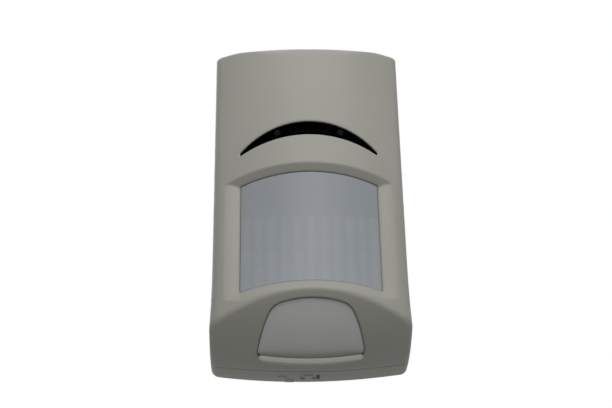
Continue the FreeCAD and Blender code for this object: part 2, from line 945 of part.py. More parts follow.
# Panel in its pocket on the chin, deep at its head and nearly flush at its foot
panel_layer = cut(
    "PanelLayer", belly("PanelNear", size("panel_setback"), size("panel_drop")),
    belly("PanelFar", size("panel_pocket") - size("panel_seat_gap")))
keep("lower_panel", common("LowerPanel", [
    panel_layer, front_prism("PanelOutline", panel_outline(gap)), plan_block("PanelLimit", wall / 2),
    box("PanelSpan", wide, (-depth, -parting), (-height, 0))]))

# Main board
board_half = inside_side("board_margin")
board_gap = size("screw_clearance")
board_blank = box("BoardBlank", (-board_half, board_half), (-board_front, -board_rear),
                  (over_bottom("board_bottom"), below_top("board_top")))
board_holes = fuse("BoardHoles", [
    rod("BoardHole%d" % i, size("screw_radius") + board_gap, (sx * boss_half, -board_front - overrun, z),
        size("board_thickness") + 2 * overrun, "Y")
    for i, (sx, z) in enumerate(boss_spots)])
keep("main_board", cut("MainBoard", board_blank, board_holes))


def screw(name, x, seat, z, length):
    """A slotted pan-head screw whose head sits on a face towards the wall."""
    head = rod(name + "Head", size("screw_head_radius"), (x, seat, z), size("screw_head_height"), "Y")
    shank = rod(name + "Shank", size("screw_radius"), (x, seat - length, z), length + join, "Y")
    half_slot = size("screw_slot") / 2
    radius = size("screw_head_radius")
    slot = box(name + "Slot", (x - radius, x + radius),
               (seat + size("screw_head_height") / 2, seat + size("screw_head_height") + overrun),
               (z - half_slot, z + half_slot))
    return cut(name, fuse(name + "Solid", [head, shank]), slot)


keep("board_screws", group("BoardScrews", [
    screw("BoardScrew%d" % i, sx * boss_half, -board_rear, z,
          size("board_thickness") + screw_length - size("screw_tip_gap"))
    for i, (sx, z) in enumerate(boss_spots)]))

# Infrared sensor on the board behind the lens
sensor_z = over_crest("sensor_height")
sensor_base = board_front + size("sensor_flange_thickness")
sensor_face = sensor_base + size("sensor_can_height")
keep("sensor_header", rod("SensorHeader", size("sensor_flange_radius"), (0, -sensor_base, sensor_z),
                          size("sensor_flange_thickness"), "Y"))
pane_half = size("sensor_window_width") / 2
pane_rise = size("sensor_window_height") / 2
pane_deep = size("sensor_window_thickness")
pane = (
    (-pane_half, pane_half),
    (-sensor_face, -sensor_face + pane_deep),
    (sensor_z - pane_rise, sensor_z + pane_rise))
can_blank = rod("SensorCanBlank", size("sensor_can_radius"), (0, -sensor_face, sensor_z),
                size("sensor_can_height"), "Y")
keep("sensor_can", cut("SensorCan", can_blank, box("SensorPaneHole", *pane)))
keep("sensor_window", box("SensorWindow", *pane))


def cone_shell(name, near, far, length, start, z):
    """A tapering tube that opens away from the board."""
    forms = []
    for label, less in (("Outside", 0), ("Inside", size("shroud_wall"))):
        cone = doc.addObject("Part::Cone", name + label)
        bind(cone, "Radius1", near - less)
        bind(cone, "Radius2", far - less)
        bind(cone, "Height", length)
        cone.Placement = Placement(Vector(0, 0, 0), Rotation(Vector(1, 0, 0), 90))
        forms.append(place(cone, 0, start, z))
    return cut(name, *forms)


keep("sensor_shroud", cone_shell("SensorShroud", size("shroud_radius"), size("shroud_mouth_radius"),
                                 size("shroud_length"), -board_front, sensor_z))

# Indicator lights under the light pipes
light_length = size("light_body_length")
keep("indicator_lights", group("IndicatorLights", [
    rod("Light%d" % i, size("light_body_radius"), (sx * light_half, -board_front - light_length, light_z),
        light_length, "Y")
    for i, sx in enumerate((-1, 1))]))


def on_board(name, x, z, wide_x, thick, tall_z):
    """A block standing on the front of the main board."""
    return box(name, (x - wide_x / 2, x + wide_x / 2), (-board_front - thick, -board_front),
               (z - tall_z / 2, z + tall_z / 2))


keep("microcontroller", on_board("Microcontroller", size("chip_x"), over_crest("chip_z"), size("chip_width"),
                                 size("chip_thickness"), size("chip_width")))
keep("crystal", on_board("Crystal", size("crystal_x"), over_crest("crystal_z"), size("crystal_width"),
                         size("crystal_thickness"), size("crystal_height")))
keep("alarm_relay", on_board("AlarmRelay", size("relay_x"), over_crest("relay_z"), size("relay_width"),
                             size("relay_thickness"), size("relay_height")))
capacitor_length = size("capacitor_length")
keep("electrolytic_capacitors", group("Electrolytics", [
    rod("Electrolytic%d" % i, size("capacitor_radius"),
        (size("capacitor_x") + i * size("capacitor_pitch"), -board_front - capacitor_length,
         over_crest("capacitor_z")),
        capacitor_length, "Y")
    for i in range(2)]))


def chip_row(name, count, z, thick):
    return group(name, [
        on_board("%s%d" % (name, i), size("resistor_x") + i * size("resistor_pitch"), z, size("resistor_width"),
                 thick, size("resistor_length"))
        for i in range(count)])


keep("chip_resistors", chip_row("ChipResistor", 7, over_crest("resistor_z"), size("resistor_thickness")))
keep("chip_capacitors", chip_row("ChipCapacitor", 5, over_crest("ceramic_z"), size("ceramic_thickness")))

# Jumper on the back of the board
pin_half = size("pin_width") / 2
pitch = size("pin_pitch")
jumper_x = size("jumper_x")
jumper_z = over_crest("jumper_z")
jumper_rear = -board_rear + size("jumper_depth")
jumper_half = size("jumper_width") / 2
jumper_rise = size("jumper_height") / 2


def pin(name, x, z, start, end, grow=0):
    half = pin_half + grow
    return box(name, (x - half, x + half), (start, end), (z - half, z + half))


keep("jumper_header", cut(
    "JumperHeader",
    box("JumperBody", (jumper_x - jumper_half, jumper_x + jumper_half), (-board_rear, jumper_rear),
        (jumper_z - jumper_rise, jumper_z + jumper_rise)),
    fuse("JumperHoles", [
        pin("JumperHole%d" % i, jumper_x + i * pitch, jumper_z, -board_rear, jumper_rear + overrun)
        for i in (-1, 0, 1)])))
jumper_tip = jumper_rear + size("jumper_pin_length")
keep("jumper_pins", group("JumperPins", [
    pin("JumperPin%d" % i, jumper_x + i * pitch, jumper_z, -board_rear, jumper_tip) for i in (-1, 0, 1)]))
cap_half = size("jumper_cap_width") / 2
cap_x = jumper_x - pitch / 2
cap_low = jumper_rear + size("jumper_cap_gap")
keep("jumper_cap", cut(
    "JumperCap",
    box("JumperCapBody", (cap_x - cap_half, cap_x + cap_half), (cap_low, cap_low + size("jumper_cap_length")),
        (jumper_z - jumper_rise, jumper_z + jumper_rise)),
    fuse("JumperCapHoles", [
        pin("JumperCapHole%d" % i, jumper_x + i * pitch, jumper_z, cap_low - overrun,
            jumper_tip + gap) for i in (-1, 0)])))

# Plug on the board and socket on the base, joined by pins
plug_half = size("plug_width") / 2
plug_rise = size("plug_height") / 2
plug_z = over_bottom("plug_height_over_bottom")
plug_rear = -board_rear + size("plug_depth")
plug_xs = [(i - (WAYS - 1) / 2) * pitch for i in range(WAYS)]
keep("board_plug", cut(
    "BoardPlug",
    box("PlugBody", (-plug_half, plug_half), (-board_rear, plug_rear), (plug_z - plug_rise, plug_z + plug_rise)),
    fuse("PlugHoles", [
        pin("PlugHole%d" % i, x, plug_z, -board_rear, plug_rear + overrun)
        for i, x in enumerate(plug_xs)])))
keep("plug_pins", group("PlugPins", [
    pin("PlugPin%d" % i, x, plug_z, -board_rear, plug_rear + size("plug_pin_reach"))
    for i, x in enumerate(plug_xs)]))
base_front = size("base_board_front")
socket_front = plug_rear + size("plug_gap")
socket_half = size("socket_hole_width") / 2
keep("base_socket", cut(
    "BaseSocket",
    box("SocketBody", (-plug_half, plug_half), (socket_front, -base_front),
        (plug_z - plug_rise, plug_z + plug_rise)),
    fuse("SocketHoles", [
        box("SocketHole%d" % i, (x - socket_half, x + socket_half),
            (socket_front - overrun, socket_front + size("plug_pin_reach") + size("plug_gap")),
            (plug_z - socket_half, plug_z + socket_half))
        for i, x in enumerate(plug_xs)])))

# Tamper switch on the board and its plunger, pressed by a post of the base
tamper_x = inside_side("tamper_margin")
tamper_z = over_crest("tamper_z")
tamper_half = size("tamper_width") / 2
tamper_rear = -board_rear + size("tamper_depth")
plunger_radius = size("plunger_radius")
plunger_end = tamper_rear + size("plunger_reach")
keep("tamper_switch", cut(
    "TamperSwitch",
    box("TamperBody", (tamper_x - tamper_half, tamper_x + tamper_half), (-board_rear, tamper_rear),
        (tamper_z - tamper_half, tamper_z + tamper_half)),
    rod("TamperBore", plunger_radius + gap, (tamper_x, tamper_rear - size("plunger_hidden") - gap, tamper_z),
        size("plunger_hidden") + 2 * overrun, "Y")))
keep("tamper_plunger", rod(
    "TamperPlunger", plunger_radius, (tamper_x, tamper_rear - size("plunger_hidden"), tamper_z),
    size("plunger_hidden") + size("plunger_reach"), "Y"))

# Rear base: a tray with a tongue that stands inside the cover
back_wall = size("back_wall")
base_outer = common("BaseOuter", [outer, base_side])
tray = cut("BaseTray", base_outer, common("BaseHollow", [
    inner, box("BaseHollowDepth", wide, (-2 * depth, -back_wall), (-height, height))]))
tongue_out = wall + size("tongue_gap")
tongue_in = tongue_out + size("tongue_thickness")
tongue_inner = housing("TongueInner", tongue_in)
tongue_front = seam_front - size("tongue_height")
foot_rear = seam_rear + size("tongue_foot")
tongue = cut("Tongue", fuse("TongueSolid", [
    common("TongueRing", [
        housing("TongueOuter", tongue_out),
        box("TongueSpan", wide, (tongue_front, foot_rear), (-height, height))]),
    common("TongueFoot", [housing("TongueFootOuter", wall - join), box("TongueFootSpan", wide, (
        seam_rear, foot_rear), (-height, height))])]), tongue_inner)
lock_half = size("lock_plate_half_width") + size("lock_travel") + overrun
lock_room = box("LockRoom", (-lock_half, lock_half), (-2 * depth, -back_wall), (-half_height, -half_height / 2))
hook_room = fuse("HookRoom", [
    box("HookRoom%d" % i, (sx * hook_x - size("hook_width"), sx * hook_x + size("hook_width")),
        (-2 * depth, -back_wall), (half_height / 2, half_height)) for i, sx in enumerate((-1, 1))])
tongue_cut = cut("TongueCut", tongue, fuse("TongueRooms", [lock_room, hook_room]))

# Wall holes with their pads, cable entry, board pillars, post and cradle
hole_half = size("wall_hole_spacing") / 2
hole_middle = size("wall_hole_middle")
hole_zs = (hole_middle - hole_half, hole_middle + hole_half)
pads = [rod("HolePad%d" % i, size("wall_hole_pad_radius"), (0, -back_wall - size("wall_hole_pad_height"), z),
            size("wall_hole_pad_height") + back_wall / 2, "Y") for i, z in enumerate(hole_zs)]
wall_holes = [rod("WallHole%d" % i, size("wall_hole_radius"), (0, -depth / 2, z), depth, "Y")
              for i, z in enumerate(hole_zs)]
entry_x = size("entry_x")
entry_z = size("entry_z")
entry = rod("CableEntry", size("entry_radius"), (entry_x, -depth / 2, entry_z), depth, "Y")
base_half = size("base_board_half_width")
base_rear = base_front - size("base_board_thickness")
pillar_inset = size("pillar_inset")
pillar_spots = [(sx * (base_half - pillar_inset), z) for sx in (-1, 1)
                for z in (over_bottom("base_board_bottom") + pillar_inset,
                          over_bottom("base_board_top") - pillar_inset)]
pillars = [rod("Pillar%d" % i, size("boss_radius"), (x, -base_rear, z), base_rear - back_wall / 2, "Y")
           for i, (x, z) in enumerate(pillar_spots)]
post_front = plunger_end + size("plunger_gap")
post = rod("TamperPost", size("post_radius"), (tamper_x, post_front, tamper_z),
           -post_front - back_wall / 2, "Y")
vial_x = size("vial_x")
vial_z = size("vial_z")
vial_radius = size("vial_radius")
vial_half = size("vial_length") / 2
vial_y = -(back_wall + vial_radius + gap)
cradle_rib = size("cradle_rib")
rib_xs = [vial_x + sx * size("cradle_spread") / 2 for sx in (-1, 1)]
ribs = cut("CradleRibs", fuse("CradleSolid", [
    box("CradleRib%d" % i, (x - cradle_rib / 2, x + cradle_rib / 2),
        (-back_wall - size("cradle_depth"), -back_wall / 2),
        (vial_z - vial_radius - cradle_rib, vial_z + vial_radius + cradle_rib))
    for i, x in enumerate(rib_xs)]),
    rod("CradleBore", vial_radius + touch, (vial_x - vial_half, vial_y, vial_z), 2 * vial_half, "X"))
keep("level_vial", rod("LevelVial", vial_radius, (vial_x - vial_half, vial_y, vial_z), 2 * vial_half, "X"))

# Rails that carry the lock plate, the rear one with a lip over it
lock_rear = -behind_seam("lock_plate_rear")
plate_half = size("lock_plate_half_width")
plate_top = lock_floor + size("lock_plate_thickness")
rail = size("rail_width")
rail_span = (-plate_half - gap, plate_half + size("lock_travel") + gap)
rails = common("Rails", [
    fuse("RailForms", [
        box("RailRear", rail_span, (lock_rear - rail, lock_rear + gap + rail), (-half_height, lock_floor)),
        box("RailBack", rail_span, (lock_rear + gap, lock_rear + gap + rail),
            (-half_height, plate_top + gap + rail)),
        box("RailLip", rail_span, (lock_rear - rail / 2, lock_rear + gap + rail),
            (plate_top + gap, plate_top + gap + rail)),
        box("RailFront", rail_span, (seam_rear + seam_gap, -behind_seam("slot_front") - seam_gap),
            (-half_height, lock_floor))]),
    housing("RailLimit", wall / 2)])

# Slot for the lock and the raised open-padlock mark beside it
slot_half = size("slot_half_width")
lock_slot = box("LockSlot", (-slot_half, slot_half), (-behind_seam("slot_front"), -behind_seam("slot_rear")),
                (-height, -half_height + 3 * wall))
mark_x = size("mark_x")
mark_y = -behind_seam("mark_setback")
mark_body_half = size("mark_body_width") / 2
shackle_x = mark_x - mark_body_half - size("mark_shackle_radius") + size("mark_shackle_width")
shackle_y = mark_y - size("mark_shackle_leg")
shackle_reach = size("mark_shackle_radius")
shackle_inner = shackle_reach - size("mark_shackle_width")
mark_body = box("MarkBody", (mark_x - mark_body_half, mark_x + mark_body_half),
                (mark_y, mark_y + size("mark_body_length")), (-height, -half_height / 2))
shackle_foot = (shackle_x, shackle_y, -height)
shackle_ring = cut("ShackleRing", rod("ShackleOuter", shackle_reach, shackle_foot, height, "Z"),
                   rod("ShackleInner", shackle_inner, shackle_foot, height, "Z"))
shackle_legs = [
    box("ShackleLeg%d" % i, (shackle_x + low, shackle_x + high), (shackle_y, mark_y + reach),
        (-height, -half_height / 2))
    for i, (low, high, reach) in enumerate((
        (-shackle_reach, -shackle_inner, 0), (shackle_inner, shackle_reach, join)))]
shackle_half = common("ShackleHalf", [shackle_ring, box(
    "ShackleFront", (shackle_x - 2 * shackle_reach, shackle_x + 2 * shackle_reach),
    (shackle_y - 2 * shackle_reach, shackle_y), (-height, -half_height / 2))])
mark = common("OpenMark", [
    fuse("MarkForm", [mark_body, shackle_half] + shackle_legs), belly("MarkRelief", 0, size("mark_relief")),
    box("MarkSkin", wide, (-parting, -back_wall), (-height, -half_height + wall * 2)),
    base_side])
mark_skin = cut("MarkRaised", mark, inner)
keep("rear_base", cut("RearBase", fuse("BaseSolid", [
    tray, tongue_cut, post, ribs, mark_skin, rails] + pads + pillars),
                      fuse("BaseHoles", wall_holes + [entry, lock_slot] + [
    rod("PillarHole%d" % i, size("screw_radius") + board_gap, (x, -base_rear - overrun, z),
        base_rear + overrun - size("pilot_floor"), "Y")
    for i, (x, z) in enumerate(pillar_spots)])))

# Rubber grommet in the cable entry
grommet_gap = size("grommet_gap")
flange_deep = size("grommet_flange_thickness")
keep("cable_grommet", cut("CableGrommet", fuse("GrommetSolid", [
    rod("GrommetNeck", size("entry_radius") - grommet_gap, (entry_x, -back_wall - flange_deep, entry_z),
        back_wall + flange_deep - grommet_gap, "Y"),
    rod("GrommetFlange", size("grommet_flange_radius"), (entry_x, -back_wall - flange_deep, entry_z),
        flange_deep, "Y")]),
    rod("GrommetBore", size("grommet_bore"), (entry_x, -depth / 2, entry_z), depth, "Y")))

# Board in the base with its screws
keep("base_board", cut("BaseBoard", box("BaseBoardBlank", (-base_half, base_half), (-base_front, -base_rear),
                                        (over_bottom("base_board_bottom"), over_bottom("base_board_top"))),
                       fuse("BaseBoardHoles", [
    rod("BaseBoardHole%d" % i, size("screw_radius") + board_gap, (x, -base_front - overrun, z),
        size("base_board_thickness") + 2 * overrun, "Y") for i, (x, z) in enumerate(pillar_spots)])))


def front_screw(name, x, seat, z, head_radius, head_height, shank_radius, length):
    """A slotted screw driven towards the wall."""
    head = rod(name + "Head", head_radius, (x, seat - head_height, z), head_height, "Y")
    shank = rod(name + "Shank", shank_radius, (x, seat - join, z), length + join, "Y")
    half_slot = size("screw_slot") / 2
    slot = box(name + "Slot", (x - head_radius, x + head_radius),
               (seat - head_height - overrun, seat - head_height / 2), (z - half_slot, z + half_slot))
    return cut(name, fuse(name + "Solid", [head, shank]), slot)


keep("base_board_screws", group("BaseBoardScrews", [
    front_screw("BaseBoardScrew%d" % i, x, -base_front, z, size("screw_head_radius"),
                size("screw_head_height"), size("screw_radius"),
                base_front - size("pilot_floor") - size("screw_tip_gap"))
    for i, (x, z) in enumerate(pillar_spots)]))

# Terminal block with a screw and a clamp in each way
terminal_pitch = size("terminal_pitch")
terminal_z = over_bottom("terminal_z")
terminal_half = WAYS / 2 * terminal_pitch + size("terminal_end")
terminal_rise = size("terminal_height") / 2
terminal_front = -base_front - size("terminal_depth")
terminal_xs = [(i - (WAYS - 1) / 2) * terminal_pitch for i in range(WAYS)]
entry_half = size("terminal_entry_width") / 2
entry_rise = size("terminal_entry_height")
terminal_roof = size("terminal_roof")
entry_rear = terminal_front + size("terminal_entry_depth")
entry_front = entry_rear - entry_rise
shank_end = entry_front + entry_rise / 2
keep("terminal_block", cut(
    "TerminalBlock",
    box("TerminalBody", (-terminal_half, terminal_half), (terminal_front, -base_front),
        (terminal_z - terminal_rise, terminal_z + terminal_rise)),
    fuse("TerminalCuts", [
        rod("TerminalWell%d" % i, size("terminal_hole_radius"), (x, terminal_front - overrun, terminal_z),
            entry_front - terminal_front + overrun + join, "Y") for i, x in enumerate(terminal_xs)] + [
        box("TerminalEntry%d" % i, (x - entry_half, x + entry_half), (entry_front, entry_rear),
            (terminal_z - terminal_rise - overrun, terminal_z + terminal_rise - terminal_roof))
        for i, x in enumerate(terminal_xs)])))
head_seat = terminal_front + size("terminal_screw_sink") + size("terminal_screw_head")
keep("terminal_screws", group("TerminalScrews", [
    front_screw("TerminalScrew%d" % i, x, head_seat, terminal_z, size("terminal_screw_radius"),
                size("terminal_screw_head"), size("terminal_shank_radius"), shank_end - head_seat)
    for i, x in enumerate(terminal_xs)]))
clamp_half = entry_half - size("clamp_side_gap")
clamp_low = terminal_z - terminal_rise + size("clamp_setback")
clamp_high = terminal_z + terminal_rise - terminal_roof - size("clamp_end_gap")
keep("terminal_clamps", group("TerminalClamps", [
    box("TerminalClamp%d" % i, (x - clamp_half, x + clamp_half),
        (entry_rear - size("clamp_thickness"), entry_rear), (clamp_low, clamp_high))
    for i, x in enumerate(terminal_xs)]))

# Lock slider: a plate on the rails, a tab in the slot and a hook that reaches into the cover
lock_gap = size("lock_gap")
tab_left = lock_gap - slot_half
tab_front = lock_gap - behind_seam("slot_front")
tab_rear = -behind_seam("slot_rear") - lock_gap
plate_front = -behind_seam("lock_plate_front")
hook_front = -before_seam("lock_hook_front")
arm_low = lock_floor + size("lock_arm_rise")
arm_top = arm_low + size("lock_arm_thickness")
arm_right = catch_left - size("lock_travel") - lock_gap
dome_half = size("lock_dome_width") / 2
dome_x = (tab_left + tab_right) / 2
below = -height
lock_tab = common("LockTab", [
    box("LockTabBlank", (tab_left, tab_right), (tab_front, tab_rear), (below, plate_top)),
    belly("LockTabFace", 0, -size("lock_tab_recess"))])
lock_dome = common("LockDome", [
    box("LockDomeBlank", (dome_x - dome_half, dome_x + dome_half), (tab_front, tab_rear), (below, plate_top)),
    belly("LockDomeFace", 0, size("mark_relief"))])
keep("cover_lock", fuse("CoverLock", [
    box("LockPlate", (-plate_half, plate_half), (plate_front, lock_rear), (lock_floor, plate_top)),
    lock_tab,
    lock_dome,
    box("LockStep", (tab_left, arm_right), (plate_front, plate_front + rail), (lock_floor, arm_top)),
    box("LockArm", (tab_left, arm_right), (hook_front, plate_front + rail), (arm_low, arm_top)),
    box("LockHook", (tab_left, tab_right), (hook_front, hook_front + size("lock_hook_thickness")),
        (arm_low, arm_top))]))

doc.recompute()
problems = [thing.Name for thing in doc.Objects if "Invalid" in thing.State or "Error" in thing.State]
for name, thing in parts.items():
    if thing.Shape.isNull() or not thing.Shape.isValid() or not thing.Shape.Solids:
        problems.append(name)
if problems:
    raise RuntimeError("these did not build: " + ", ".join(problems))
os.makedirs("parts", exist_ok=True)
for name, thing in parts.items():
    thing.Shape.exportStep("parts/%s.step" % name)
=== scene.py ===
"""The looks of a wall-mounted motion detector: its mouldings, lens, boards, light and camera."""
import math

import bpy
from mathutils import Matrix, Vector


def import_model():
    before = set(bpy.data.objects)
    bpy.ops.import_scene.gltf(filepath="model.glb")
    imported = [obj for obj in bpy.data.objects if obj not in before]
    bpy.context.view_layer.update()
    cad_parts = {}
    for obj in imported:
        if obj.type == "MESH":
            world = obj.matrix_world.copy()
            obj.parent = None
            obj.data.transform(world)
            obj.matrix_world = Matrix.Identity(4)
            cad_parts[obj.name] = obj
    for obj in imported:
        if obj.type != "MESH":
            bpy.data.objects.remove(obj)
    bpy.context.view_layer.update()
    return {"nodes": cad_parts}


MM = 0.001
EDGE_SAMPLES = 8

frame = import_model()
nodes = frame["nodes"]


# Shader maths
class Value:
    """A shader socket that takes part in ordinary sums."""

    def __init__(self, shaders, socket):
        self.shaders = shaders
        self.socket = socket

    def math(self, operation, *others):
        sockets = dict(enumerate((self, *others)))
        return self.shaders.node("ShaderNodeMath", {"operation": operation}, sockets)

    def __add__(self, other):
        return self.math("ADD", other)

    def __radd__(self, other):
        return self.math("ADD", other)

    def __sub__(self, other):
        return self.math("SUBTRACT", other)

    def __rsub__(self, other):
        return -self + other

    def __mul__(self, other):
        return self.math("MULTIPLY", other)

    def __rmul__(self, other):
        return self.math("MULTIPLY", other)

    def __truediv__(self, other):
        return self.math("DIVIDE", other)

    def __neg__(self):
        return self * -1

    def __abs__(self):
        return self.math("ABSOLUTE")

    def sin(self):
        return self.math("SINE")

    def arcsin(self):
        return self.math("ARCSINE")

    def hypot(self, other):
        """The length of the two values as sides at a right angle."""
        return (self * self + other * other).math("SQRT")

    def part(self):
        """What is left after the whole number."""
        return self.math("FRACT")

    def floor(self):
        return self.math("FLOOR")

    def over(self, limit):
        """1 where the value is above a limit."""
        return self.math("GREATER_THAN", limit)

    def most(self, other):
        return self.math("MAXIMUM", other)

    def ease(self, low, high):
        """0 at low, 1 at high, smooth between."""
        return self.shaders.node(
            "ShaderNodeMapRange", {"interpolation_type": "SMOOTHSTEP"},
            {"Value": self, "From Min": low, "From Max": high})


class Shaders:
    """A tree of shader nodes."""

    def __init__(self, tree):
        self.tree = tree

    def feed(self, socket, value):
        """Link a value to a socket, or set the socket to a number or to a colour of three parts."""
        if isinstance(value, Value):
            self.tree.links.new(socket, value.socket)
        elif isinstance(value, tuple):
            socket.default_value = (*value, 1)
        else:
            socket.default_value = value

    def node(self, kind, settings, sockets, output=0):
        """Any node: its type, its settings, then the values or links of its sockets."""
        made = self.tree.nodes.new(kind)
        for name, value in settings.items():
            setattr(made, name, value)
        for name, value in sockets.items():
            self.feed(made.inputs[name], value)
        return Value(self, made.outputs[output])


class Finish(Shaders):
    """A material with one main shader."""

    def __init__(self, name):
        self.material = bpy.data.materials.new(name)
        self.material.use_nodes = True
        super().__init__(self.material.node_tree)
        self.shader = self.tree.nodes["Principled BSDF"]
        self.place = self.node("ShaderNodeTexCoord", {}, {}, "Object")
        axes = self.node("ShaderNodeSeparateXYZ", {}, {"Vector": self.place}).socket.node
        self.x, self.y, self.z = (Value(self, axis) for axis in axes.outputs)

    def noise(self, scale, detail=2.0, rough=0.5, place=None):
        """Soft noise from 0 to 1, with about as many specks to the metre as scale says."""
        return self.node("ShaderNodeTexNoise", {}, {
            "Vector": place or self.place, "Scale": scale, "Detail": detail, "Roughness": rough})

    def chance(self, x, y):
        """A random level from 0 to 1 for each whole step of x and y."""
        return self.node("ShaderNodeTexWhiteNoise", {"noise_dimensions": "3D"},
                         {"Vector": self.point(x.floor(), 0.0, y.floor())})

    def mix(self, mask, first, second):
        """Two colours mixed by a mask, through the node's colour sockets 6 and 7 to its colour result 2."""
        return self.node("ShaderNodeMix", {"data_type": "RGBA"}, {0: mask, 6: first, 7: second}, 2)

    def point(self, x, y, z):
        return self.node("ShaderNodeCombineXYZ", {}, {0: x, 1: y, 2: z})

    def bump(self, height, depth, edge=0.0):
        """Relief of a height from 0 to 1, as deep as depth in metres, over edges softened by a radius."""
        sockets = {"Height": height, "Distance": depth, "Strength": 1.0}
        if edge:
            sockets["Normal"] = self.node("ShaderNodeBevel", {"samples": EDGE_SAMPLES}, {"Radius": edge})
        self.feed(self.shader.inputs["Normal"], self.node("ShaderNodeBump", {}, sockets))

    def set(self, **values):
        """Values of the main shader's sockets, with _ for each space in their names."""
        for name, value in values.items():
            self.feed(self.shader.inputs[name.replace("_", " ")], value)


def srgb(red, green, blue):
    """A colour written in picture values from 0 to 255."""
    def linear(level):
        level /= 255
        return level / 12.92 if level <= 0.04045 else ((level + 0.055) / 1.055) ** 2.4
    return linear(red), linear(green), linear(blue)


def shade(colour, factor):
    """A colour made darker or paler by a factor."""
    return tuple(part * factor for part in colour)


# Finishes of the outer mouldings. Noise averages a half, so half its share comes off the mean roughness.
def moulded(name, colour, grain, depth, roughness, gloss, edge):
    """Textured plastic: the fine grain of the tool, slightly uneven colour and shine, eased edges."""
    finish = Finish(name)
    cloud = finish.noise(35, detail=3)
    speck = finish.noise(grain, rough=0.6)
    tone = cloud.ease(0.3, 0.7) * 0.6 + speck * 0.4
    finish.set(
        Base_Color=finish.mix(tone, shade(colour, 0.955), shade(colour, 1.035)),
        Roughness=cloud * 0.08 + (speck * 0.10 + (roughness - 0.09)),
        Specular_IOR_Level=gloss)
    finish.bump(speck, depth, edge)
    return finish.material


HOUSING_COLOUR = srgb(166, 165, 157)
PANEL_COLOUR = srgb(202, 202, 199)


def housing_plastic(name, edge):
    return moulded(name, HOUSING_COLOUR, grain=2600, depth=0.03 * MM, roughness=0.55, gloss=0.3, edge=edge)


def cover_plastic():
    return housing_plastic("cover_plastic", edge=1.3 * MM)


def base_plastic():
    return housing_plastic("base_plastic", edge=0.3 * MM)


def panel_plastic():
    return moulded("panel_plastic", PANEL_COLOUR, grain=3600, depth=0.012 * MM, roughness=0.45, gloss=0.4,
                   edge=0.6 * MM)


# Window, in mm: the places of its light pipes, the arc of its lower edge and the rib's height above it.
# A pair is where something fades out, and where it is full.
LIGHT_SPREAD = 11.0
LIGHT_LEVEL = 21.5
LIGHT_EDGE = (1.4, 0.8)
WINDOW_RADIUS = 48.0
WINDOW_FOOT = 20.3
RIB_RISE = 1.4
RIB_EDGE = (0.35, 0.05)
RIB_ENDS = (9, 5)
WINDOW_DARK = (0.0003, 0.0003, 0.0004)
WINDOW_PALE = (0.0006, 0.0006, 0.0008)
SEEN_BEHIND = (0.014, 0.014, 0.015)


def window_plastic():
    """Deep tinted plastic with faint moulding waves; two light pipes and the rib between them just show."""
    finish = Finish("window_plastic")
    across = finish.x / MM
    height = finish.z / MM
    wave = finish.noise(60)
    pipe = (abs(across) - LIGHT_SPREAD).hypot(height - LIGHT_LEVEL).ease(*LIGHT_EDGE)
    rise = across.hypot(height + (WINDOW_RADIUS - WINDOW_FOOT)) - WINDOW_RADIUS
    rib = abs(rise - RIB_RISE).ease(*RIB_EDGE) * abs(across).ease(*RIB_ENDS)
    body = finish.mix(wave, WINDOW_DARK, WINDOW_PALE)
    finish.set(
        Base_Color=finish.mix((pipe * 0.8).most(rib * 0.4), body, SEEN_BEHIND),
        Roughness=wave * 0.05 + 0.35,
        Specular_IOR_Level=0.0)
    finish.bump(wave, 0.02 * MM)
    return finish.material


# Lens, in mm: its bend, the rows and columns of its small lenses, and their ring grooves
LENS_RADIUS = 49.5
LENS_MIDDLE = -12
FACET_TOPS = (-8.9, -16.1, -20.6, -25.3)
FACET_WIDTH = 4.5
CUT_FADE = 0.8
SEAM_EDGE = (0.45, 0.10)
# Where the sides painted paler (painted light) fade in, in mm from the middle
PAINTED_LIT_SIDE_FADE = (4, 20)
RING_PITCH = 0.45
RING_ROW = 4.2
# Painted shade: the lens is painted darker towards its top, by this share for each mm above its middle
PAINTED_SHADE_UPWARD = 0.0135
MIDDLE_TONES = (srgb(134, 139, 146), srgb(150, 155, 162))
# Paler tones for the sides: painted light, a lit copy of the middle tones
PAINTED_LIT_SIDE_TONES = (srgb(141, 146, 150), srgb(157, 162, 166))


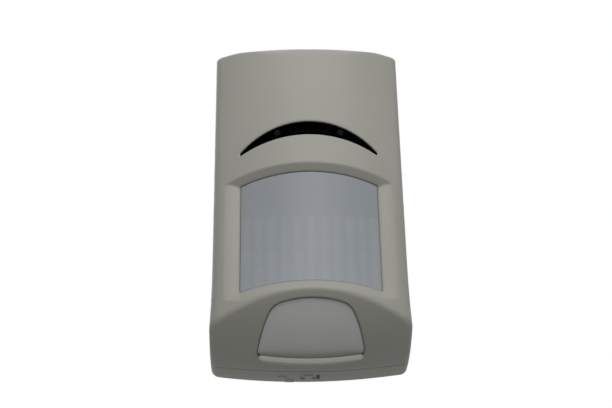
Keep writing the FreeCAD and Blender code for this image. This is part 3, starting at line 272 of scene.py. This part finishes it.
def lens_plastic():
    """Milky sheet with the columns and rows of its small lenses, cut on the inside, showing through, with
    painted light: a painted highlight on each column's middle, painted shade towards the top and sides
    painted paler.
    """
    finish = Finish("lens_plastic")
    across = finish.x / MM
    height = finish.z / MM
    column = (across / LENS_RADIUS).arcsin() * (LENS_RADIUS / FACET_WIDTH) + 0.5
    row = sum((-height).over(-top) for top in FACET_TOPS)
    cut = height.ease(FACET_TOPS[0] + CUT_FADE, FACET_TOPS[0] - CUT_FADE)
    facet = finish.chance(column, row)
    off_centre = column.part() - 0.5
    # Each column's rounded middle: raised in the relief, and painted lighter in the colour as a painted
    # highlight
    crown_and_highlight = (1 - abs(off_centre) * 2).ease(0.0, 1.0)
    seam = 0
    for top in FACET_TOPS:
        seam = abs(height - top).ease(*SEAM_EDGE).most(seam)
    # Painted shade: darker towards the top, paler towards the bottom
    painted_shade = (LENS_MIDDLE - height) * PAINTED_SHADE_UPWARD
    cloud = finish.noise(30)
    skin = finish.noise(2200, detail=1)
    # Colour level: random facets, painted highlight on column middles, dark row seams, cloud and painted
    # shade
    level = cut * (facet * 0.14 + crown_and_highlight * 0.25 - seam * 0.10) + (cloud * 0.19 + painted_shade + 0.33)
    middle = finish.mix(level, *MIDDLE_TONES)
    sides = finish.mix(level, *PAINTED_LIT_SIDE_TONES)
    finish.set(
        # The sides are painted paler than the middle: painted light
        Base_Color=finish.mix(abs(across).ease(*PAINTED_LIT_SIDE_FADE), middle, sides),
        Roughness=skin * 0.08 + 0.40,
        Specular_IOR_Level=0.35)
    off_row = ((height / RING_ROW).part() - 0.5) * RING_ROW
    rings = ((off_centre * FACET_WIDTH).hypot(off_row) * (2 * math.pi / RING_PITCH)).sin()
    finish.bump(rings * cut * 0.12 + (skin * 0.3 + crown_and_highlight * cut * 0.5), 0.02 * MM)
    return finish.material


# Finishes inside the housing
RUBBER_DARK = (0.012, 0.012, 0.012)
RUBBER_PALE = (0.028, 0.028, 0.027)


def rubber():
    """Black rubber with a dull, dusty skin."""
    finish = Finish("grommet_rubber")
    dust = finish.noise(900, detail=3, rough=0.6)
    finish.set(Base_Color=finish.mix(dust, RUBBER_DARK, RUBBER_PALE), Roughness=dust * 0.15 + 0.62)
    finish.bump(dust, 0.03 * MM)
    return finish.material


def plain_plastic(name, colour, roughness, grain=1800):
    """Moulded plastic with a fine speck."""
    finish = Finish(name)
    speck = finish.noise(grain)
    finish.set(Base_Color=finish.mix(speck, shade(colour, 0.85), shade(colour, 1.12)),
               Roughness=speck * 0.12 + (roughness - 0.06))
    finish.bump(speck, 0.02 * MM)
    return finish.material


def plated(name, colour, roughness):
    """Plated or drawn metal with fine rubbed marks, narrow across and long upright."""
    finish = Finish(name)
    along = finish.point(finish.x * 8, finish.y, finish.z * 0.6)
    rub = finish.noise(900, rough=0.6, place=along)
    finish.set(Base_Color=finish.mix(rub, shade(colour, 0.86), colour), Metallic=1.0,
               Roughness=rub * 0.16 + (roughness - 0.08))
    finish.bump(rub, 0.008 * MM)
    return finish.material


# Tracks: their pitch, in pitches the fade at their edges and the length of a run, and the share left bare
TRACK_PITCH = 1.27 * MM
TRACK_EDGE = (0.24, 0.18)
UPRIGHT_RUN = 6
UPRIGHT_BARE = 0.45
LEVEL_RUN = 7
LEVEL_BARE = 0.72
LACQUER_DARK = (0.008, 0.070, 0.024)
LACQUER_PALE = (0.014, 0.095, 0.034)
TRACK_COLOUR = (0.035, 0.20, 0.065)


def circuit_board():
    """Green lacquer over woven glass, with upright and level copper tracks under it."""
    finish = Finish("circuit_board")
    across = finish.x / TRACK_PITCH
    along = finish.z / TRACK_PITCH
    upright_run = finish.chance(across, along / UPRIGHT_RUN).over(UPRIGHT_BARE)
    level_run = finish.chance(across / LEVEL_RUN, along).over(LEVEL_BARE)
    upright = abs(across.part() - 0.5).ease(*TRACK_EDGE) * upright_run
    level = abs(along.part() - 0.5).ease(*TRACK_EDGE) * level_run
    track = upright.most(level)
    weave = finish.noise(2600)
    lacquer = finish.mix(weave, LACQUER_DARK, LACQUER_PALE)
    finish.set(Base_Color=finish.mix(track, lacquer, TRACK_COLOUR), Roughness=weave * 0.1 + 0.28)
    finish.bump(track * 0.8 + weave * 0.2, 0.03 * MM)
    return finish.material


def chip_plastic():
    return plain_plastic("chip_plastic", (0.016, 0.016, 0.017), roughness=0.55, grain=3000)


# Capacitors, with the depth in mm where the sleeve stops and where the can is bare
SLEEVE_END = (-37.7, -37.75)
SLEEVE_DARK = (0.012, 0.014, 0.03)
SLEEVE_PALE = (0.018, 0.02, 0.04)
CAN_COLOUR = (0.62, 0.62, 0.63)


def capacitor_sleeve():
    """Dark sleeve that leaves the end of the can bare."""
    finish = Finish("capacitor_sleeve")
    bare = (finish.y / MM).ease(*SLEEVE_END)
    speck = finish.noise(1500)
    sleeve = finish.mix(speck, SLEEVE_DARK, SLEEVE_PALE)
    finish.set(Base_Color=finish.mix(bare, sleeve, CAN_COLOUR), Metallic=bare, Roughness=speck * 0.1 + 0.28)
    finish.bump(speck, 0.01 * MM)
    return finish.material


def ceramic_chip(name, colour):
    """Fired body with a slightly rough skin."""
    finish = Finish(name)
    speck = finish.noise(4000)
    finish.set(Base_Color=finish.mix(speck, shade(colour, 0.8), shade(colour, 1.2)),
               Roughness=speck * 0.12 + 0.4)
    finish.bump(speck, 0.01 * MM)
    return finish.material


def clear_tint(name, colour, transmission, roughness):
    """Tinted clear body that lets light through."""
    finish = Finish(name)
    wave = finish.noise(400, detail=1)
    finish.set(Base_Color=finish.mix(wave, shade(colour, 0.92), colour), Transmission_Weight=transmission,
               Roughness=wave * 0.04 + roughness, IOR=1.45)
    return finish.material


def dress(material, *names):
    """Give CAD nodes their finish."""
    for name in names:
        slots = nodes[name].data.materials
        slots.clear()
        slots.append(material)


dress(cover_plastic(), "front_cover")
dress(base_plastic(), "rear_base", "cover_lock")
dress(lens_plastic(), "fresnel_lens")
dress(window_plastic(), "led_window", "sensor_window")
dress(panel_plastic(), "lower_panel")
dress(plain_plastic("frame_plastic", (0.02, 0.02, 0.021), roughness=0.5), "lens_retainer", "sensor_shroud")
dress(circuit_board(), "main_board", "base_board")
dress(plated("zinc_plate", (0.62, 0.62, 0.60), roughness=0.34),
      "board_screws", "base_board_screws", "terminal_screws", "terminal_clamps", "sensor_header")
dress(plated("drawn_can", (0.68, 0.67, 0.64), roughness=0.26), "sensor_can", "crystal")
dress(plated("gilt_pin", (0.80, 0.62, 0.30), roughness=0.25), "jumper_pins", "plug_pins")
dress(chip_plastic(),
      "microcontroller", "alarm_relay", "jumper_header", "board_plug", "base_socket", "tamper_switch")
dress(plain_plastic("jumper_cap", (0.02, 0.05, 0.22), roughness=0.4), "jumper_cap")
dress(capacitor_sleeve(), "electrolytic_capacitors")
dress(ceramic_chip("resistor_body", (0.02, 0.02, 0.02)), "chip_resistors")
dress(ceramic_chip("capacitor_body", (0.36, 0.24, 0.12)), "chip_capacitors")
dress(clear_tint("light_body", (0.75, 0.06, 0.04), transmission=0.6, roughness=0.12), "indicator_lights")
dress(clear_tint("vial_glass", (0.62, 0.80, 0.18), transmission=0.75, roughness=0.06), "level_vial")
dress(plain_plastic("nylon", (0.62, 0.60, 0.53), roughness=0.42), "tamper_plunger")
dress(plain_plastic("terminal_plastic", (0.02, 0.14, 0.055), roughness=0.42), "terminal_block")
dress(rubber(), "cable_grommet")


# Camera
PHOTO_WIDTH = 612
FOCAL_PIXELS = 850.0
SENSOR = 36.0
VIEW_UP = math.radians(12.228)
VIEW_TURN = math.radians(1.661)
VIEW_ROLL = math.radians(-0.744)
DISTANCE = 310.0 * MM
AIM = Vector((-0.81, -30.0, -0.16)) * MM
NEAREST_SEEN = 0.01
FARTHEST_SEEN = 50


def camera():
    """Camera at the photograph's viewing angle, looking up at the part from below its middle."""
    forward = Vector((math.sin(VIEW_TURN) * math.cos(VIEW_UP), math.cos(VIEW_TURN) * math.cos(VIEW_UP),
                      math.sin(VIEW_UP)))
    level = Vector((math.cos(VIEW_TURN), -math.sin(VIEW_TURN), 0))
    above = level.cross(forward)
    right = level * math.cos(VIEW_ROLL) + above * math.sin(VIEW_ROLL)
    up = above * math.cos(VIEW_ROLL) - level * math.sin(VIEW_ROLL)
    data = bpy.data.cameras.new("camera")
    data.sensor_width = SENSOR
    data.lens = FOCAL_PIXELS / PHOTO_WIDTH * SENSOR
    data.clip_start = NEAREST_SEEN
    data.clip_end = FARTHEST_SEEN
    made = bpy.data.objects.new("camera", data)
    turn = Matrix((right, up, -forward)).transposed().to_4x4()
    made.matrix_world = Matrix.Translation(AIM - forward * DISTANCE) @ turn
    bpy.context.collection.objects.link(made)
    bpy.context.scene.camera = made


# Floor, world and lamps
WHITE = (1, 1, 1)
FLOOR_HEIGHT = -0.30
FLOOR_SIZE = 8
FLOOR_LIT = (0.34, 0.34, 0.34)
FLOOR_SEEN = (0.80, 0.80, 0.80)
FLOOR_GLOW = 0.70
WORLD_LIT = 0.15
WORLD_SEEN = 1.0


def white_when_seen(shaders, lit, seen):
    """One shader for the light that falls on the part, another for what eye, gloss and glass see."""
    eye, gloss, glass = (shaders.node("ShaderNodeLightPath", {}, {}, ray)
                         for ray in ("Is Camera Ray", "Is Glossy Ray", "Is Transmission Ray"))
    return shaders.node("ShaderNodeMixShader", {}, {0: eye.most(gloss).most(glass), 1: lit, 2: seen})


def floor():
    """Pale floor: nearly white as seen, with the part's shadow, and greyer for the light it throws back."""
    bpy.ops.mesh.primitive_plane_add(size=FLOOR_SIZE, location=(0, 0, FLOOR_HEIGHT))
    made = bpy.context.object
    made.name = "floor"
    material = bpy.data.materials.new("floor")
    material.use_nodes = True
    tree = material.node_tree
    tree.nodes.remove(tree.nodes["Principled BSDF"])
    shaders = Shaders(tree)
    lit, pale = (shaders.node("ShaderNodeBsdfDiffuse", {}, {"Color": colour})
                 for colour in (FLOOR_LIT, FLOOR_SEEN))
    glow = shaders.node("ShaderNodeEmission", {}, {"Color": WHITE, "Strength": FLOOR_GLOW})
    seen = shaders.node("ShaderNodeAddShader", {}, {0: pale, 1: glow})
    shaders.feed(tree.nodes["Material Output"].inputs["Surface"], white_when_seen(shaders, lit, seen))
    made.data.materials.append(material)


def world():
    """White backdrop that throws only a little light on the part."""
    made = bpy.data.worlds.new("studio")
    bpy.context.scene.world = made
    made.use_nodes = True
    tree = made.node_tree
    tree.nodes.remove(tree.nodes["Background"])
    shaders = Shaders(tree)
    lit, seen = (shaders.node("ShaderNodeBackground", {}, {"Color": WHITE, "Strength": strength})
                 for strength in (WORLD_LIT, WORLD_SEEN))
    shaders.feed(tree.nodes["World Output"].inputs["Surface"], white_when_seen(shaders, lit, seen))


def softbox(name, place, size, power):
    """A square lamp that faces the part, its place and size in metres and its power in watts."""
    data = bpy.data.lights.new(name, "AREA")
    data.size = size
    data.energy = power
    made = bpy.data.objects.new(name, data)
    made.location = place
    made.rotation_euler = (-Vector(place)).to_track_quat("-Z", "Y").to_euler()
    bpy.context.collection.objects.link(made)


camera()
floor()
world()
softbox("key", place=(0.06, -0.80, 0.55), size=0.7, power=6.8)
softbox("rear", place=(-0.30, 0.95, 0.45), size=0.8, power=5.5)

bpy.context.scene.view_settings.view_transform = "Standard"
